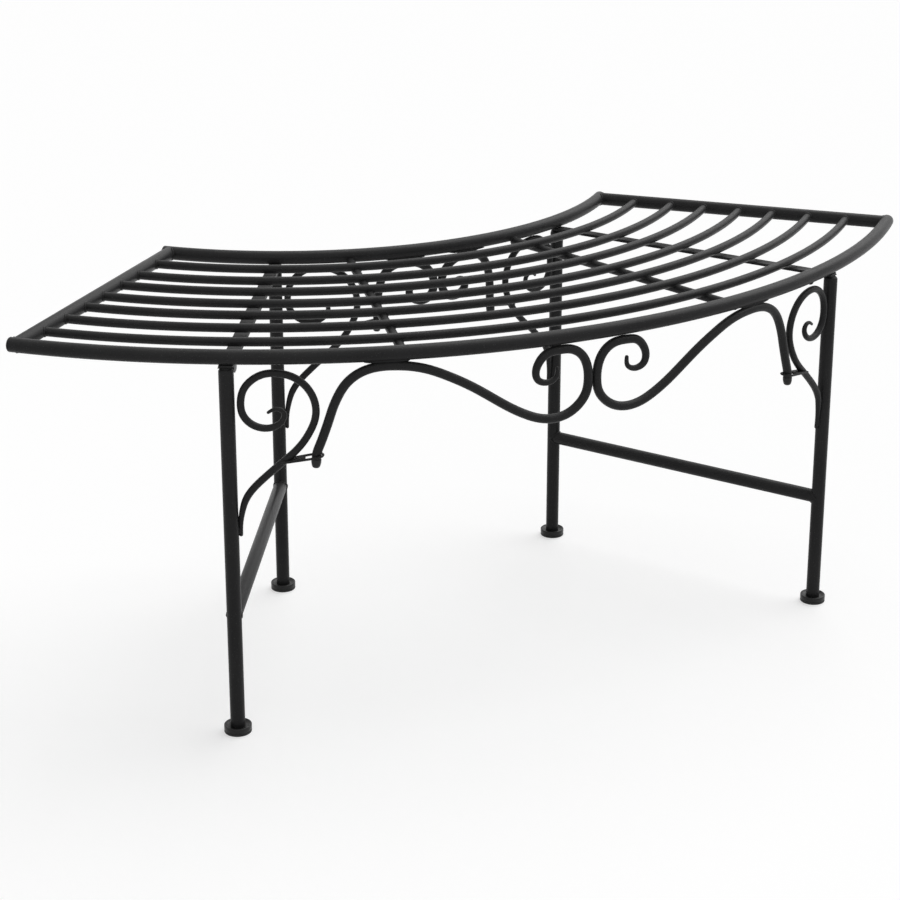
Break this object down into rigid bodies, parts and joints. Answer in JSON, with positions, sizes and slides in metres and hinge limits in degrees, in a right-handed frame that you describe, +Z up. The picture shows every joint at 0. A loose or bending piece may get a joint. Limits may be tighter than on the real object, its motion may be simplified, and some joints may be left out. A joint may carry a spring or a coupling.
{
  "type": "tree bench",
  "caption": "Curved garden bench, a quarter of a ring seat for round a tree: coated steel slats between bent rims on straight legs, with scrolled brackets and aprons",
  "frame": {"origin": "on the ground, under the middle of the seat's bounding box", "axes": "+X runs along the bench from its left to its right as seen from the front, +Y runs from the long outer side to the short inner side, where the tree stands, and +Z is up"},
  "size_m": [1.135, 0.5129, 0.434],
  "materials": {
    "black_powder_coat": "satin powder coat with a very fine grain",
    "black_plastic": "matte moulded plastic"
  },
  "bodies": {
    "root": {"back_apron_cap_left": "black_plastic", "back_apron_cap_right": "black_plastic", "back_apron_left": "black_powder_coat", "back_apron_right": "black_powder_coat", "back_eyelet_left": "black_powder_coat", "back_eyelet_right": "black_powder_coat", "cross_rod_left": "black_powder_coat", "cross_rod_right": "black_powder_coat", "end_tube_left": "black_powder_coat", "end_tube_right": "black_powder_coat", "frame_bar_left": "black_powder_coat", "frame_bar_right": "black_powder_coat", "frame_lug_left": "black_powder_coat", "frame_lug_right": "black_powder_coat", "front_apron_cap_left": "black_plastic", "front_apron_cap_right": "black_plastic", "front_apron_left": "black_powder_coat", "front_apron_right": "black_powder_coat", "front_eyelet_left": "black_powder_coat", "front_eyelet_right": "black_powder_coat", "inner_bracket_left": "black_powder_coat", "inner_bracket_right": "black_powder_coat", "inner_foot_left": "black_plastic", "inner_foot_right": "black_plastic", "inner_leg_left": "black_powder_coat", "inner_leg_right": "black_powder_coat", "inner_rim": "black_powder_coat", "inner_rim_plug_left": "black_plastic", "inner_rim_plug_right": "black_plastic", "outer_bracket_left": "black_powder_coat", "outer_bracket_right": "black_powder_coat", "outer_foot_left": "black_plastic", "outer_foot_right": "black_plastic", "outer_leg_left": "black_powder_coat", "outer_leg_right": "black_powder_coat", "outer_rim": "black_powder_coat", "outer_rim_plug_left": "black_plastic", "outer_rim_plug_right": "black_plastic", "slat_1": "black_powder_coat", "slat_2": "black_powder_coat", "slat_3": "black_powder_coat", "slat_4": "black_powder_coat", "slat_5": "black_powder_coat", "slat_6": "black_powder_coat", "slat_7": "black_powder_coat", "stretcher_left": "black_powder_coat", "stretcher_right": "black_powder_coat"}
  },
  "joints": []
}
